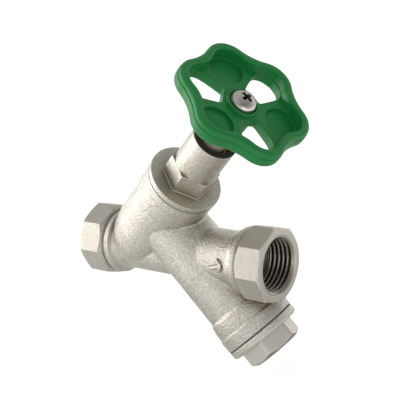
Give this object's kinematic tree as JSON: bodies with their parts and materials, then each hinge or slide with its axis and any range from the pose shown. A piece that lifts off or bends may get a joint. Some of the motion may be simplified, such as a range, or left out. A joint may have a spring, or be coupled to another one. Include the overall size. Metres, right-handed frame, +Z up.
{
  "type": "shut-off valve with y-strainer",
  "caption": "Straight-run stop valve with a leaning bonnet and lobed handwheel on one side and a Y-strainer branch with a hexagon cap on the other.",
  "frame": {"origin": "centre of the inlet port's mouth", "axes": "+X along the run from the inlet to the outlet, +Z up; both branches lie in the XZ plane"},
  "size_m": [0.0962, 0.0486, 0.12],
  "materials": {
    "cast_nickel_brass": "cast brass, blasted and nickel plated, satin",
    "turned_nickel_brass": "turned and milled brass, nickel plated, satin",
    "bare_brass": "turned brass, bare",
    "stem_brass": "drawn brass bar, turned and burnished",
    "stainless_steel": "rolled stainless steel",
    "zinc_plated_steel": "steel screw, bright plated",
    "green_plastic": "moulded green plastic, slight sheen",
    "black_rubber": "black rubber",
    "fibre_gasket": "blue-grey fibre gasket",
    "white_ptfe": "white PTFE"
  },
  "bodies": {
    "valve": {"valve_body": "cast_nickel_brass", "seat_ring": "stainless_steel", "bonnet_gasket": "fibre_gasket", "bonnet": "turned_nickel_brass", "gland_washer": "bare_brass", "stem_packing_rings": "white_ptfe", "gland_follower": "bare_brass", "gland_nut": "bare_brass", "dust_ring": "black_rubber"},
    "disc": {"disc_holder": "bare_brass", "seat_washer": "black_rubber", "disc_retaining_ring": "bare_brass", "disc_nut": "bare_brass"},
    "spindle": {"spindle": "stem_brass", "handwheel": "green_plastic", "handwheel_screw": "zinc_plated_steel"},
    "basket": {"basket_top_ring": "stainless_steel", "basket_screen": "stainless_steel", "basket_bottom_ring": "stainless_steel", "cap_gasket": "fibre_gasket"},
    "cap": {"strainer_cap": "turned_nickel_brass"}
  },
  "joints": [
    {"name": "spindle_lift", "type": "slide", "parent": "valve", "child": "disc", "axis": [0.7071, 0, 0.7071], "range_m": [-0.008, 0]},
    {"name": "handwheel_turn", "type": "hinge", "parent": "disc", "child": "spindle", "pos_m": [0.0788, 0, 0.06015], "axis": [0.7071, 0, 0.7071], "range_deg": [-960, 0]},
    {"name": "cap_travel", "type": "slide", "parent": "valve", "child": "basket", "axis": [0.6428, 0, -0.766], "range_m": [0, 0.0075]},
    {"name": "cap_turn", "type": "hinge", "parent": "basket", "child": "cap", "pos_m": [0.07336, 0, -0.03225], "axis": [0.6428, 0, -0.766], "range_deg": [0, 1800]}
  ],
  "couplings": [
    {"joint": "handwheel_turn", "follows": "spindle_lift", "rad_per_m": 2094},
    {"joint": "cap_turn", "follows": "cap_travel", "rad_per_m": 4188}
  ]
}
